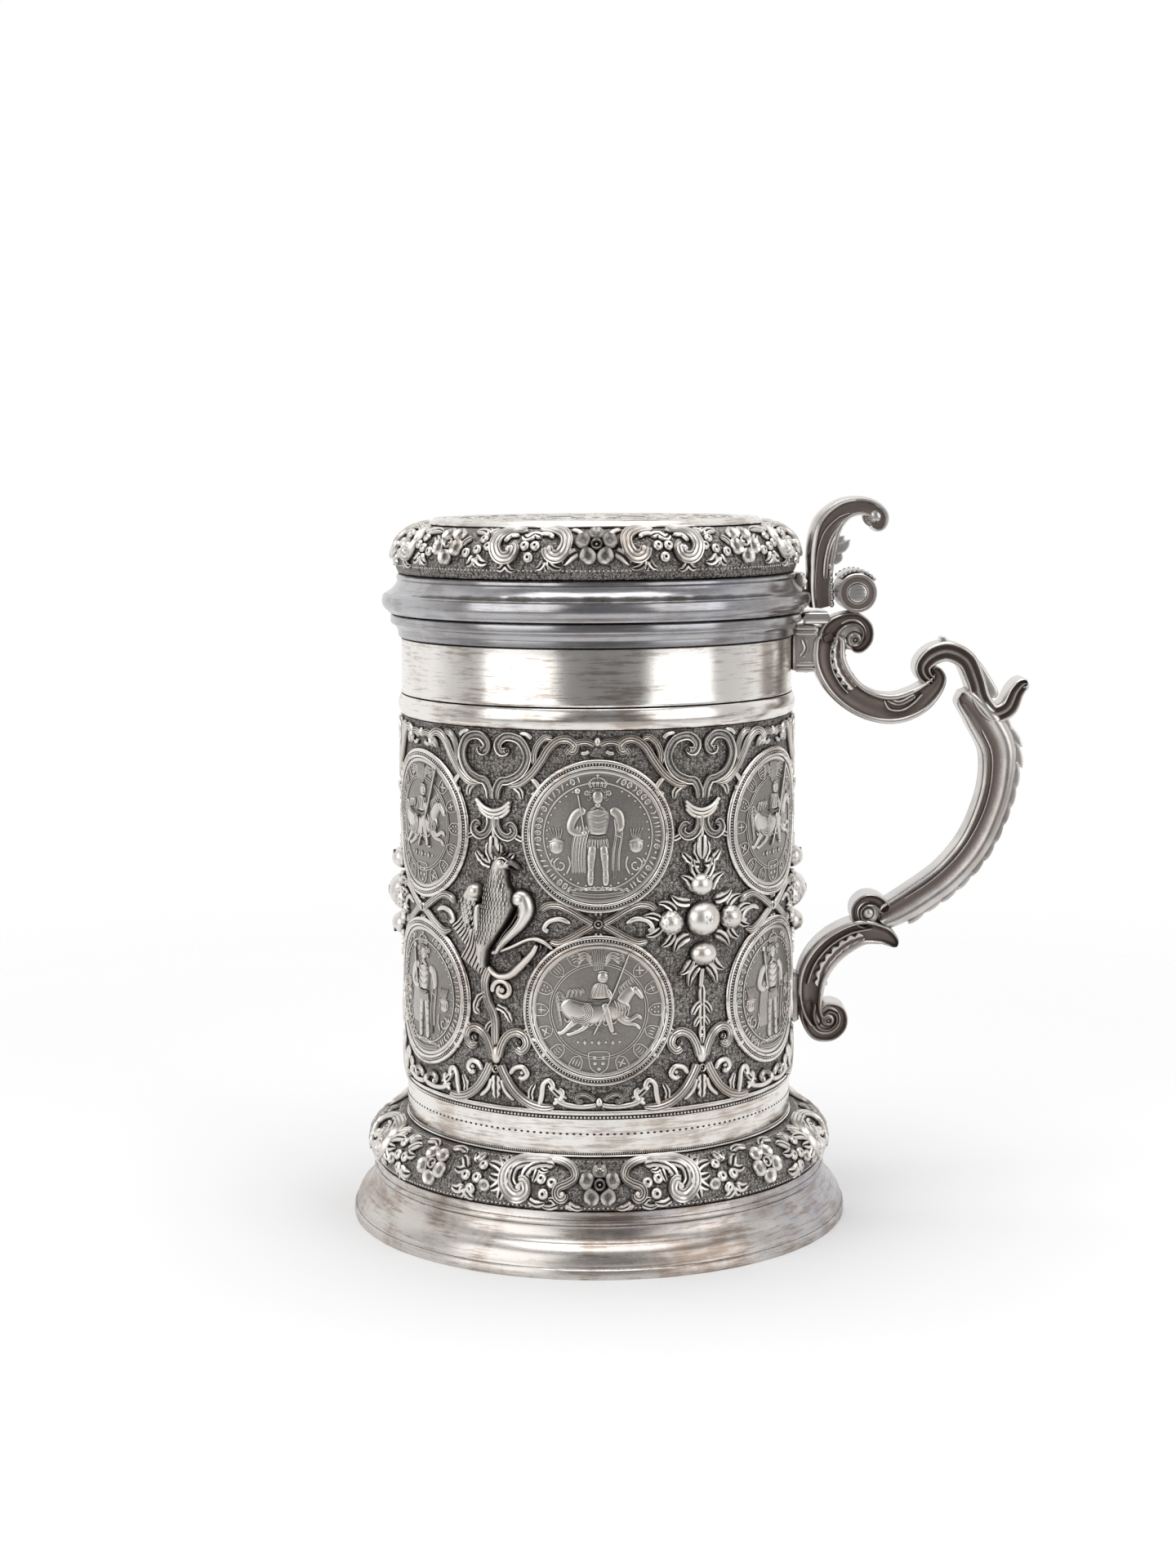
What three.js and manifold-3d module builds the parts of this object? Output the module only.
// Coin tankard in silver: a drum set with two rows of coins, a chased foot and lid band,
// a scrolled handle and a hinged lid with a thumbpiece.
// Millimetres, +Z up. The origin is on the drum's axis, in the plane it stands on.
// The handle is at +X and the front is at -Y.
import * as THREE from 'three';
import { mergeVertices } from 'three/addons/utils/BufferGeometryUtils.js';
import Module from 'manifold-3d';

const wasm = await Module();
wasm.setup();

// ---- driving dimensions ---------------------------------------------------------------
const GAP = 0.3; // between pieces that are soldered or rest on each other
const DRUM_RADIUS = 60.2;
const WALL = 1.6; // sheet thickness of the body
const FOOT_SPREAD = 17.3; // how far the foot's lip stands out from the drum
const FOOT_RIM_HEIGHT = 18;
const FOOT_LIP_HEIGHT = 2.8;
const FOOT_BAND_HEIGHT = 13;
const FOOT_BAND_OUT = 9.7; // foot band's lower edge, out from the drum
const BELT_HEIGHT = 13.4; // plain belt under the coins
const FIELD_MARGIN = 7.9; // chased ground above and below the bezels
const MOULDING_HEIGHT = 6.2;
const MOULDING_PROUD = 1.8;
const NECK_HEIGHT = 16.7;
const LIP_HEIGHT = 6.9;
const LIP_PROUD = 3.3;
const LID_SEAT = 0.6; // air between the lip and the closed lid
const FLANGE_HEIGHT = 11.8;
const FLANGE_PROUD = 6;
const LID_BAND_HEIGHT = 14.2;
const LID_TOP_RADIUS = 51.4;
const LID_TOP_HEIGHT = 2.4;
const LID_PLATE_RADIUS = 46.6;
const LID_PLATE_THICKNESS = 2;
const LID_RING_DEPTH = 5; // how far the locating ring reaches into the cup
const LID_RING_CLEARANCE = 0.6;
const PLATE_THICKNESS = 1.5; // drum bottom and base plate

const COLUMNS = 6;
const COIN_RADIUS = 19.6; // the part of the coin that the bezel leaves open
const COIN_THICKNESS = 0.8;
const BEZEL_WIDTH = 2.75;
const BEZEL_RISE = 1.5;
const ROW_GAP = 6.1; // between the upper and the lower bezel

const BARREL_RADIUS = 6;
const BARREL_LENGTH = 20;
const PIN_RADIUS = 2.9;
const PIN_CLEARANCE = 0.08;
const HINGE_OUT = 19.6; // hinge axis out from the drum
const HINGE_ABOVE_LIP = 5.8;
const GUARD_THICKNESS = 0.8;
const THUMB_WIDTH = 11;
const HANDLE_WIDTH = 12;
const HANDLE_REACH = 72.7; // from the drum side of the lower scroll to the flick
const HANDLE_END_ABOVE_FIELD = 7.4; // lower scroll's end above the chased field's lower edge
const BRACKET_WIDTH = 16;
const BRACKET_THICKNESS = 3.8;
const PAD_WIDTH = 7;
const PAD_HEIGHT = 16;

// ---- levels and radii worked out from them ------------------------------------------------
const BEZEL_RADIUS = COIN_RADIUS + GAP + BEZEL_WIDTH;
const FIELD_HEIGHT = 4 * BEZEL_RADIUS + ROW_GAP + 2 * FIELD_MARGIN;
const INNER_RADIUS = DRUM_RADIUS - WALL;
const FOOT_RADIUS = DRUM_RADIUS + FOOT_SPREAD;
const Z_FOOT_BAND = FOOT_RIM_HEIGHT + GAP;
const Z_BELT = Z_FOOT_BAND + FOOT_BAND_HEIGHT + GAP;
const Z_FIELD = Z_BELT + BELT_HEIGHT;
const Z_MOULDING = Z_FIELD + FIELD_HEIGHT + GAP;
const Z_NECK = Z_MOULDING + MOULDING_HEIGHT + GAP;
const Z_LIP = Z_NECK + NECK_HEIGHT + GAP;
const Z_RIM = Z_LIP + LIP_HEIGHT;
const Z_FLANGE = Z_RIM + LID_SEAT;
const Z_LID_BAND = Z_FLANGE + FLANGE_HEIGHT + GAP;
const Z_LID_TOP = Z_LID_BAND + LID_BAND_HEIGHT + GAP;
const HINGE_X = DRUM_RADIUS + HINGE_OUT;
const HINGE_Z = Z_RIM + HINGE_ABOVE_LIP;
const BORE_RADIUS = PIN_RADIUS + PIN_CLEARANCE;

const ROUND_SIDES = 40; // sides of everything turned about the drum's axis
const COIN_SIDES = 16;
const BARREL_SIDES = 20;
const BOSS_SIDES = 16;

// ---- finishes ---------------------------------------------------------------------------
const finish = (color, roughness) =>
  new THREE.MeshStandardMaterial({ color, roughness, metalness: 1 });
const BRIGHT = () => finish(0xc9c4bd, 0.24);
const CHASED = () => finish(0x8f8a83, 0.42);
const COIN = () => finish(0xb2aca3, 0.38);
const CAST = () => finish(0x77706a, 0.36);

// ---- geometry helpers ---------------------------------------------------------------------
// Keeps positions only, joins equal corners, drops empty triangles and turns faces outwards.
function closed(geometry) {
  const bare = geometry.clone();
  bare.deleteAttribute('normal');
  bare.deleteAttribute('uv');
  const merged = mergeVertices(bare, 1e-4);
  const at = merged.getAttribute('position');
  const source = merged.index.array;
  const faces = [];
  let volume = 0;
  const [a, b, c] = [new THREE.Vector3(), new THREE.Vector3(), new THREE.Vector3()];
  for (let i = 0; i < source.length; i += 3) {
    const [p, q, r] = [source[i], source[i + 1], source[i + 2]];
    if (p === q || q === r || p === r) continue;
    faces.push([p, q, r]);
    a.fromBufferAttribute(at, p);
    b.fromBufferAttribute(at, q);
    c.fromBufferAttribute(at, r);
    volume += a.dot(b.cross(c));
  }
  if (volume < 0) faces.forEach((face) => face.reverse());
  merged.setIndex(faces.flat());
  return merged;
}

function toManifold(geometry) {
  const shape = closed(geometry);
  return new wasm.Manifold(new wasm.Mesh({
    numProp: 3,
    vertProperties: new Float32Array(shape.getAttribute('position').array),
    triVerts: new Uint32Array(shape.index.array),
  }));
}

function fromManifold(solid) {
  const mesh = solid.getMesh();
  const geometry = new THREE.BufferGeometry();
  geometry.setAttribute('position', new THREE.BufferAttribute(mesh.vertProperties, 3));
  geometry.setIndex(new THREE.BufferAttribute(mesh.triVerts, 1));
  return geometry;
}

const unite = (solids) => solids.reduce((whole, next) => whole.add(next));

// Turns a profile of [radius, z] corners about the Z axis. The profile closes on itself.
function turned(profile, sides = ROUND_SIDES) {
  const corners = [...profile, profile[0]].map(([r, z]) => new THREE.Vector2(r, z));
  const geometry = new THREE.LatheGeometry(corners, sides);
  geometry.rotateX(Math.PI / 2);
  return closed(geometry);
}

// Corners of a bowed line from one [radius, z] corner to another. A positive bow swells
// outwards when the line climbs.
function bow([r0, z0], [r1, z1], swell, steps = 4) {
  const middle = new THREE.Vector2(
    (r0 + r1) / 2 + (z1 - z0) * swell,
    (z0 + z1) / 2 - (r1 - r0) * swell,
  );
  const curve = new THREE.QuadraticBezierCurve(
    new THREE.Vector2(r0, z0), middle, new THREE.Vector2(r1, z1));
  return curve.getPoints(steps).map((point) => [point.x, point.y]);
}

// Wraps a flat piece onto the drum: x runs round it from the angle given, z stays, and
// y is the height above the drum. Angle 0 is the front and a quarter turn is the handle.
function wrapped(geometry, angle) {
  const at = geometry.getAttribute('position');
  for (let i = 0; i < at.count; i += 1) {
    const turn = angle + at.getX(i) / DRUM_RADIUS;
    const radius = DRUM_RADIUS + at.getY(i);
    at.setXYZ(i, radius * Math.sin(turn), -radius * Math.cos(turn), at.getZ(i));
  }
  return closed(geometry);
}

// A plate in the XZ plane, centred on Y = 0, with a small bevel along its edges.
function plate(shape, width, bevel = 0.9) {
  const geometry = new THREE.ExtrudeGeometry(shape, {
    depth: width - 2 * bevel,
    bevelEnabled: bevel > 0,
    bevelThickness: bevel,
    bevelSize: bevel,
    bevelOffset: -bevel,
    bevelSegments: 1,
    curveSegments: 16,
  });
  geometry.translate(0, 0, bevel - width / 2);
  geometry.rotateX(Math.PI / 2);
  return toManifold(geometry);
}

function disc(x, z, radius) {
  const corners = [];
  for (let i = 0; i < BOSS_SIDES; i += 1) {
    const angle = 2 * Math.PI * i / BOSS_SIDES;
    corners.push(new THREE.Vector2(x + radius * Math.cos(angle), z + radius * Math.sin(angle)));
  }
  return new THREE.Shape(corners);
}

// A band of changing width along a smooth centre line of [x, z, half width] points, with
// round ends.
function ribbon(points, grow = 0) {
  const steps = 2 * points.length;
  const line = new THREE.CatmullRomCurve3(
    points.map(([x, z, half]) => new THREE.Vector3(x, z, half)), false, 'centripetal');
  const left = [];
  const right = [];
  let heading = 0;
  for (let i = 0; i <= steps; i += 1) {
    const p = line.getPoint(i / steps);
    const t = line.getTangent(i / steps);
    heading = Math.atan2(t.y, t.x);
    const half = p.z + grow;
    left.push(new THREE.Vector2(p.x - half * Math.sin(heading), p.y + half * Math.cos(heading)));
    right.push(new THREE.Vector2(p.x + half * Math.sin(heading), p.y - half * Math.cos(heading)));
  }
  const cap = ([x, z, half], direction) => [-1, 0, 1].map((k) => {
    const angle = direction + k * Math.PI / 4;
    return new THREE.Vector2(x + (half + grow) * Math.cos(angle), z + (half + grow) * Math.sin(angle));
  });
  const start = line.getTangent(0);
  const startCap = cap(points[0], Math.atan2(start.y, start.x) + Math.PI);
  const endCap = cap(points[points.length - 1], heading);
  return new THREE.Shape([...right, ...endCap, ...left.reverse(), ...startCap]);
}

// ---- assembly -----------------------------------------------------------------------------
const tankard = new THREE.Group();
const lid = new THREE.Group();
tankard.add(lid);

function place(parent, name, geometry, material) {
  const mesh = new THREE.Mesh(geometry, material);
  mesh.name = name;
  parent.add(mesh);
}

// ---- foot -----------------------------------------------------------------------------------
const footNeckRadius = DRUM_RADIUS + FOOT_BAND_OUT;
const ogeeTop = [FOOT_RADIUS - 4.5, FOOT_RIM_HEIGHT * 0.51];
const coveTop = [footNeckRadius + 0.7, FOOT_RIM_HEIGHT * 0.76];
place(tankard, 'foot_rim', turned([
  [FOOT_RADIUS, 0],
  [FOOT_RADIUS, FOOT_LIP_HEIGHT],
  ...bow([FOOT_RADIUS - 0.6, FOOT_LIP_HEIGHT + 0.2], ogeeTop, 0.3, 3),
  ...bow(ogeeTop, coveTop, -0.2, 2).slice(1),
  [footNeckRadius, FOOT_RIM_HEIGHT],
  [footNeckRadius - WALL, FOOT_RIM_HEIGHT],
  [coveTop[0] - WALL - 0.6, coveTop[1] - WALL],
  [ogeeTop[0] - WALL, ogeeTop[1] - WALL],
  [FOOT_RADIUS - WALL - 0.4, FOOT_LIP_HEIGHT],
  [FOOT_RADIUS - WALL - 0.4, 0],
]), BRIGHT());

place(tankard, 'base_plate', turned([
  [0, 0],
  [FOOT_RADIUS - WALL - 0.4 - GAP, 0],
  [FOOT_RADIUS - WALL - 0.4 - GAP, PLATE_THICKNESS],
  [0, PLATE_THICKNESS],
]), BRIGHT());

const footBandTop = Z_FOOT_BAND + FOOT_BAND_HEIGHT;
const footShoulder = [footNeckRadius + 0.7, Z_FOOT_BAND + FOOT_BAND_HEIGHT * 0.52];
place(tankard, 'foot_band', turned([
  ...bow([footNeckRadius, Z_FOOT_BAND], footShoulder, 0.28, 3),
  ...bow(footShoulder, [DRUM_RADIUS + 1.8, footBandTop], 0.26, 4).slice(1),
  [INNER_RADIUS, footBandTop],
  [INNER_RADIUS, footBandTop - WALL],
  [footNeckRadius - 3, Z_FOOT_BAND + FOOT_BAND_HEIGHT * 0.55],
  [footNeckRadius - WALL, Z_FOOT_BAND],
]), CHASED());

// ---- drum -----------------------------------------------------------------------------------
const drumTop = Z_MOULDING - GAP;
place(tankard, 'drum_shell', turned([
  [INNER_RADIUS, Z_BELT],
  [DRUM_RADIUS, Z_BELT],
  [DRUM_RADIUS, drumTop],
  [INNER_RADIUS, drumTop],
]), CHASED());

place(tankard, 'drum_bottom', turned([
  [0, Z_BELT + WALL],
  [INNER_RADIUS - GAP, Z_BELT + WALL],
  [INNER_RADIUS - GAP, Z_BELT + WALL + PLATE_THICKNESS],
  [0, Z_BELT + WALL + PLATE_THICKNESS],
]), BRIGHT());

place(tankard, 'moulding_ring', turned([
  [INNER_RADIUS, Z_MOULDING],
  ...bow([DRUM_RADIUS, Z_MOULDING], [DRUM_RADIUS, Z_MOULDING + MOULDING_HEIGHT],
    2 * MOULDING_PROUD / MOULDING_HEIGHT, 4),
  [INNER_RADIUS, Z_MOULDING + MOULDING_HEIGHT],
]), BRIGHT());

place(tankard, 'neck_band', turned([
  [INNER_RADIUS, Z_NECK],
  [DRUM_RADIUS, Z_NECK],
  [DRUM_RADIUS, Z_NECK + NECK_HEIGHT],
  [INNER_RADIUS, Z_NECK + NECK_HEIGHT],
]), BRIGHT());

place(tankard, 'lip_ring', turned([
  [INNER_RADIUS, Z_LIP],
  [DRUM_RADIUS + 0.8, Z_LIP],
  [DRUM_RADIUS + 1.2, Z_LIP + LIP_HEIGHT * 0.3],
  [DRUM_RADIUS + LIP_PROUD - 0.2, Z_LIP + LIP_HEIGHT * 0.6],
  [DRUM_RADIUS + LIP_PROUD, Z_RIM],
  [INNER_RADIUS, Z_RIM],
]), BRIGHT());

// ---- coins in their bezels ----------------------------------------------------------------
function bezel() {
  const inner = COIN_RADIUS + GAP;
  const geometry = turned([
    [inner, GAP],
    [BEZEL_RADIUS, GAP],
    [BEZEL_RADIUS - 0.3, BEZEL_RISE],
    [inner, BEZEL_RISE],
  ], COIN_SIDES);
  return geometry.rotateX(Math.PI / 2).scale(1, -1, 1);
}

function coin() {
  const half = COIN_RADIUS / 2;
  const top = GAP + COIN_THICKNESS;
  const geometry = turned([
    [0, GAP], [half, GAP], [COIN_RADIUS, GAP],
    [COIN_RADIUS, top], [half, top], [0, top],
  ], COIN_SIDES);
  return geometry.rotateX(Math.PI / 2).scale(1, -1, 1);
}

const fieldMiddle = Z_FIELD + FIELD_HEIGHT / 2;
const rowOffset = BEZEL_RADIUS + ROW_GAP / 2;
for (const [row, side] of [['upper', 1], ['lower', -1]]) {
  for (let column = 0; column < COLUMNS; column += 1) {
    const angle = column * 2 * Math.PI / COLUMNS;
    const z = fieldMiddle + side * rowOffset;
    place(tankard, `bezel_${row}_${column + 1}`,
      wrapped(bezel().translate(0, 0, z), angle), CHASED());
    place(tankard, `coin_${row}_${column + 1}`,
      wrapped(coin().translate(0, 0, z), angle), COIN());
  }
}

// ---- cast ornaments between the coins --------------------------------------------------------
const drumCutter = toManifold(turned([
  [0, 0],
  [DRUM_RADIUS + GAP, 0],
  [DRUM_RADIUS + GAP, Z_RIM],
  [0, Z_RIM],
]));

// A swelling at (across, up) from the middle of the field, with its half sizes and tilt.
function swelling(across, up, halfWidth, halfHeight, rise, tilt = 0, detail = 0) {
  const geometry = new THREE.IcosahedronGeometry(1, detail);
  geometry.scale(halfWidth, rise, halfHeight);
  geometry.rotateY(tilt);
  geometry.translate(across, GAP, fieldMiddle + up);
  return toManifold(geometry);
}

function ornament(parts, angle) {
  const flat = fromManifold(unite(parts));
  return fromManifold(toManifold(wrapped(flat, angle)).subtract(drumCutter));
}

function fruitCluster(angle) {
  return ornament([
    swelling(0, 0.8, 5.6, 5.6, 5.2, 0, 1),
    swelling(-9.2, 0.6, 4.9, 4.2, 3.8, 0, 1),
    swelling(9.8, 0.4, 5.2, 4.2, 3.2, 0, 1),
    swelling(0, 10, 4, 5, 3.8, 0, 1),
    swelling(0, -9.2, 4.6, 5.6, 3.6, 0, 1),
    swelling(-3.6, 15.5, 2.2, 5.5, 1.6, -0.4),
    swelling(3.6, 15.5, 2.2, 5.5, 1.6, 0.4),
    swelling(-15.5, 0, 5, 2, 1.6),
    swelling(16.4, 0, 5, 2, 1.6),
    swelling(0, -15.5, 2.4, 6.5, 1.6),
  ], angle);
}

function bird(angle) {
  return ornament([
    swelling(0.5, 16, 3.4, 3.4, 3.2, 0, 1),
    swelling(4.6, 14.6, 3, 1.2, 1.4, 0.4),
    swelling(0.2, 9.5, 3.4, 6.8, 3.4, -0.1),
    swelling(-1.2, 0.8, 5.2, 8, 4.6, 0.2, 1),
    swelling(-9.2, 0, 4, 9.5, 2.4, 0.6),
    swelling(5.4, -1.2, 4, 9.5, 2.8, 0.3),
    swelling(-3.6, -9.5, 3, 7.5, 2, -0.2),
    swelling(8, -7.4, 9, 1.6, 1.4, -0.25),
  ], angle);
}

const between = Math.PI / COLUMNS;
[-3, 1, 3, 5].forEach((step, i) => {
  place(tankard, `fruit_cluster_${i + 1}`, fruitCluster(step * between), CAST());
});
[-1, -5].forEach((step, i) => {
  place(tankard, `bird_${i + 1}`, bird(step * between), CAST());
});

// ---- lid ------------------------------------------------------------------------------------
const flangeTop = Z_FLANGE + FLANGE_HEIGHT;
const ringRadius = INNER_RADIUS - LID_RING_CLEARANCE;
const flangeInner = ringRadius + GAP;
const flangeKnee = [DRUM_RADIUS + FLANGE_PROUD - 0.6, Z_FLANGE + FLANGE_HEIGHT * 0.45];
const flangeOutline = [
  ...bow([DRUM_RADIUS + LIP_PROUD, Z_FLANGE], flangeKnee, 0.55, 4),
  ...bow([flangeKnee[0] - 0.6, flangeKnee[1] + 0.3],
    [DRUM_RADIUS + 1, Z_FLANGE + FLANGE_HEIGHT * 0.82], -0.2, 2),
  [DRUM_RADIUS + 0.7, flangeTop],
];
place(lid, 'lid_flange', turned([
  [flangeInner, Z_FLANGE], ...flangeOutline, [flangeInner, flangeTop],
]), BRIGHT());

place(lid, 'lid_inner_ring', turned([
  [ringRadius - WALL, Z_RIM - LID_RING_DEPTH],
  [ringRadius, Z_RIM - LID_RING_DEPTH],
  [ringRadius, flangeTop],
  [ringRadius - WALL, flangeTop],
]), BRIGHT());

const lidShoulder = [DRUM_RADIUS + 1.2, Z_LID_BAND + LID_BAND_HEIGHT * 0.53];
const lidBandTop = Z_LID_BAND + LID_BAND_HEIGHT;
const lidBandInner = LID_TOP_RADIUS - WALL;
place(lid, 'lid_band', turned([
  ...bow([DRUM_RADIUS + 0.7, Z_LID_BAND], lidShoulder, 0.22, 3),
  ...bow(lidShoulder, [LID_TOP_RADIUS + 0.4, lidBandTop], 0.28, 4).slice(1),
  [lidBandInner, lidBandTop],
  [lidBandInner, lidBandTop - WALL],
  [DRUM_RADIUS - 3, lidShoulder[1]],
  [flangeInner, Z_LID_BAND],
]), CHASED());

const lidTop = Z_LID_TOP - GAP + LID_TOP_HEIGHT;
place(lid, 'lid_top_ring', turned([
  [LID_PLATE_RADIUS + GAP, Z_LID_TOP],
  [LID_TOP_RADIUS, Z_LID_TOP],
  [LID_TOP_RADIUS - 1, Z_LID_TOP + 0.8],
  [LID_TOP_RADIUS - 1.8, lidTop - 0.3],
  [LID_TOP_RADIUS - 3, lidTop],
  [LID_PLATE_RADIUS + GAP, lidTop],
]), BRIGHT());

place(lid, 'lid_plate', turned([
  [0, lidTop - LID_PLATE_THICKNESS],
  [LID_PLATE_RADIUS, lidTop - LID_PLATE_THICKNESS],
  [LID_PLATE_RADIUS, lidTop],
  [0, lidTop],
]), CHASED());

// ---- hinge ----------------------------------------------------------------------------------
// What the thumbpiece and the strap are fitted round: the flange, grown by the gap.
const flangeCutter = toManifold(turned([
  [0, Z_FLANGE - WALL],
  ...[[DRUM_RADIUS + LIP_PROUD, Z_FLANGE - WALL], ...flangeOutline].map(([r, z]) => [r + GAP, z]),
  [DRUM_RADIUS + 2.6 + GAP, lidShoulder[1]],
  [0, lidShoulder[1]],
]));

// Lies along Y on the hinge axis, from one Y to another.
function barrel(radius, from, to) {
  const geometry = new THREE.CylinderGeometry(radius, radius, to - from, BARREL_SIDES);
  geometry.translate(HINGE_X, (from + to) / 2, HINGE_Z);
  return toManifold(geometry);
}

function box(x0, x1, y0, y1, z0, z1) {
  const geometry = new THREE.BoxGeometry(x1 - x0, y1 - y0, z1 - z0);
  geometry.translate((x0 + x1) / 2, (y0 + y1) / 2, (z0 + z1) / 2);
  return toManifold(geometry);
}

const KNUCKLES = ['body_knuckle_front', 'lid_knuckle_front', 'body_knuckle_middle',
  'lid_knuckle_back', 'body_knuckle_back'];
const knucklePitch = (BARREL_LENGTH + GAP) / KNUCKLES.length;
KNUCKLES.forEach((name, i) => {
  const from = -BARREL_LENGTH / 2 + i * knucklePitch;
  const to = from + knucklePitch - GAP;
  const bore = barrel(BORE_RADIUS, from - 1, to + 1);
  const onLid = name.startsWith('lid');
  let knuckle = barrel(BARREL_RADIUS, from, to);
  if (onLid) {
    const web = box(HINGE_X - BARREL_RADIUS, HINGE_X - PIN_RADIUS, from, to,
      HINGE_Z - 0.6 * BARREL_RADIUS, HINGE_Z + 0.6 * BARREL_RADIUS);
    knuckle = knuckle.add(web);
  }
  place(onLid ? lid : tankard, name, fromManifold(knuckle.subtract(bore)), CAST());
});
place(tankard, 'hinge_pin',
  fromManifold(barrel(PIN_RADIUS, -BARREL_LENGTH / 2 - 0.2, BARREL_LENGTH / 2 + 0.2)), BRIGHT());

// Thumbpiece centre line, out from and up from the hinge axis.
const thumbLine = [
  [-10.6, -4.4, 3.7], [-10.9, 4, 3.9], [-10.3, 13, 4.6], [-8.6, 20.3, 4.8],
  [-4.2, 25, 3.9], [0.8, 26.3, 3.2], [4.2, 25.4, 3],
].map(([out, up, half]) => [HINGE_X + out, HINGE_Z + up, half]);
const thumbCurl = plate(disc(HINGE_X + 6, HINGE_Z + 23.4, 3.8), THUMB_WIDTH);
const guardInner = BARREL_RADIUS + GAP;
const thumbCut = box(HINGE_X - guardInner, HINGE_X + guardInner, -THUMB_WIDTH, THUMB_WIDTH,
  Z_FLANGE - WALL, HINGE_Z + guardInner);
const underLid = box(HINGE_X - 2 * HINGE_OUT, HINGE_X, -THUMB_WIDTH, THUMB_WIDTH,
  Z_RIM - 2 * BARREL_RADIUS, Z_RIM + LID_SEAT);
place(lid, 'thumbpiece', fromManifold(plate(ribbon(thumbLine), THUMB_WIDTH)
  .add(thumbCurl).subtract(flangeCutter).subtract(thumbCut).subtract(underLid)), CAST());

// Thin leaf that curls over the barrel from the thumbpiece.
const guard = new THREE.Shape();
guard.absarc(HINGE_X, HINGE_Z, guardInner + GUARD_THICKNESS, 0.6, 2.42, false);
guard.absarc(HINGE_X, HINGE_Z, guardInner, 2.42, 0.6, true);
place(lid, 'hinge_guard', fromManifold(plate(guard, THUMB_WIDTH + 5, 0)
  .subtract(plate(ribbon(thumbLine, GAP), THUMB_WIDTH + 2 * GAP))), CAST());

const strapTop = Z_FLANGE + FLANGE_HEIGHT * 0.95;
const strap = box(DRUM_RADIUS, thumbLine[1][0], -THUMB_WIDTH / 2, THUMB_WIDTH / 2,
  flangeKnee[1] + 1, strapTop);
place(lid, 'lid_strap', fromManifold(strap.subtract(flangeCutter)
  .subtract(plate(ribbon(thumbLine, GAP), 2 * THUMB_WIDTH, 0))), CAST());

// ---- handle ---------------------------------------------------------------------------------
// Its scrolls are drawn from the corner where the drum side meets the top of the handle:
// how far out, how far down and half the width of the metal there.
const HANDLE_X = DRUM_RADIUS + BEZEL_RISE + GAP;
const HANDLE_TOP = HINGE_Z - BARREL_RADIUS - GAP;
const HANDLE_HEIGHT = HANDLE_TOP - (Z_FIELD + HANDLE_END_ABOVE_FIELD);
const DRAWN_REACH = 72.7;
const DRAWN_HEIGHT = 135.5;
const scaleOut = HANDLE_REACH / DRAWN_REACH;
const scaleDown = HANDLE_HEIGHT / DRAWN_HEIGHT;
const drawn = ([out, down, half]) => [
  HANDLE_X + out * scaleOut,
  HANDLE_TOP - down * scaleDown,
  half * Math.min(scaleOut, scaleDown),
];

// A scroll is a ribbon with round bosses at its curls. Growing it makes the room it needs.
function scroll(line, bosses, grow = 0) {
  const width = HANDLE_WIDTH + 2 * grow;
  return unite([
    plate(ribbon(line.map(drawn), grow), width),
    ...bosses.map(drawn).map(([x, z, r]) => plate(disc(x, z, r + grow), width)),
  ]);
}

const upperLine = [
  [18.5, 3.6, 3.3], [13.6, 3.9, 3.9], [9.8, 8.4, 5], [9.9, 15, 5.1], [12.9, 21.3, 5],
  [18, 26.3, 4.7], [24.5, 29.3, 4.6], [31, 29.7, 4.6], [37, 27.5, 4.4], [40.8, 23.5, 3.4],
];
const upperBosses = [[17, 6, 5.9]];
const crestLine = [
  [38.4, 17.8, 2.6], [41.6, 13.6, 3], [46.6, 12, 3.1], [52, 14.8, 3.1], [54.8, 20.6, 3],
  [56.9, 27, 2.9], [60.8, 31.6, 2.9], [65.2, 29.8, 2.9], [67.8, 24.6, 2.7], [70, 21.6, 2.4],
];
const crestBosses = [];
const armLine = [
  [50.5, 25.5, 4], [58, 33, 5.6], [62.7, 42, 5.8], [62.8, 52, 5.4], [60.4, 62, 5.2],
  [55.4, 73, 5.1], [47.4, 82.6, 5], [37.2, 90.2, 5], [29, 94.8, 4.4],
];
const armBosses = [[22.2, 93.7, 4.9]];
const lowerLine = [
  [31.2, 103.8, 2], [27, 101, 3], [20.4, 100.2, 4], [13.6, 103.3, 4.6], [8.4, 107.8, 4.8],
  [5.2, 113.4, 4.7], [4.2, 119.6, 4.2], [4.4, 126, 3.9], [7.4, 131, 3.6], [11.4, 131, 3.4],
];
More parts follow.
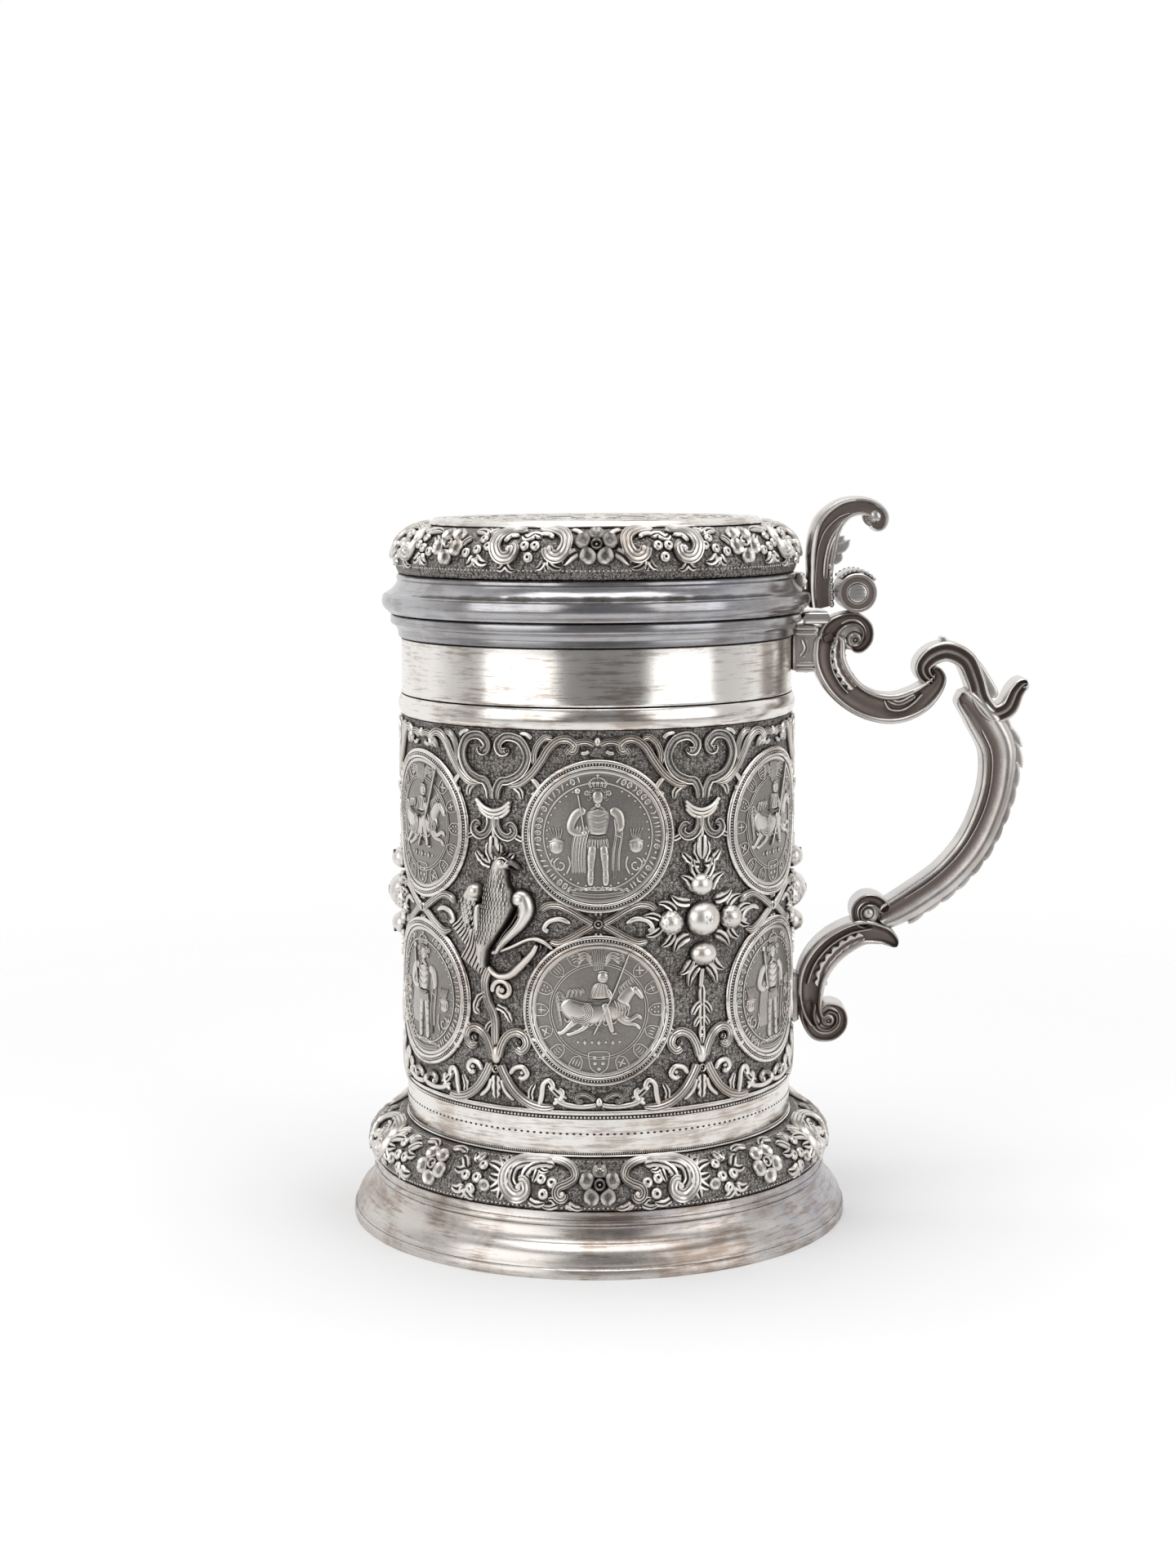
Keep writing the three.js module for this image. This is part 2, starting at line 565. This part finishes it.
const lowerBosses = [[9.6, 128.2, 6.6]];

const upper = scroll(upperLine, upperBosses);
const upperRoom = scroll(upperLine, upperBosses, GAP);
const crestRoom = scroll(crestLine, crestBosses, GAP);
const armRoom = scroll(armLine, armBosses, GAP);
place(tankard, 'handle_upper_scroll', fromManifold(upper), CAST());
place(tankard, 'handle_crest_scroll',
  fromManifold(scroll(crestLine, crestBosses).subtract(upperRoom)), CAST());
place(tankard, 'handle_arm',
  fromManifold(scroll(armLine, armBosses).subtract(crestRoom).subtract(upperRoom)), CAST());
const lower = scroll(lowerLine, lowerBosses);
place(tankard, 'handle_lower_scroll', fromManifold(lower.subtract(armRoom)), CAST());

// Soldered plates that carry the handle: under the hinge, at the neck and at the lower end.
const lipCutter = toManifold(turned([
  [0, Z_LIP - WALL],
  [DRUM_RADIUS + LIP_PROUD + GAP, Z_LIP - WALL],
  [DRUM_RADIUS + LIP_PROUD + GAP, Z_FLANGE],
  [0, Z_FLANGE],
]));
const bracketBottom = Z_RIM - BRACKET_THICKNESS;
place(tankard, 'hinge_bracket', fromManifold(
  box(DRUM_RADIUS, HINGE_X - BARREL_RADIUS - 2, -BRACKET_WIDTH / 2, BRACKET_WIDTH / 2,
    bracketBottom, Z_RIM).subtract(lipCutter).subtract(upperRoom)), CAST());
place(tankard, 'handle_block', fromManifold(
  box(DRUM_RADIUS - 1, HANDLE_X + 9.8 * scaleOut, -HANDLE_WIDTH / 2 + 1, HANDLE_WIDTH / 2 - 1,
    Z_NECK + NECK_HEIGHT * 0.3, bracketBottom - GAP)
    .subtract(drumCutter).subtract(lipCutter).subtract(upperRoom)), CAST());
const padMiddle = drawn([0, 121, 0])[1];
place(tankard, 'handle_pad', fromManifold(
  box(DRUM_RADIUS - 1, HANDLE_X + 2, -PAD_WIDTH / 2, PAD_WIDTH / 2,
    padMiddle - PAD_HEIGHT / 2, padMiddle + PAD_HEIGHT / 2)
    .subtract(drumCutter).subtract(scroll(lowerLine, lowerBosses, GAP))), CAST());

export default tankard;
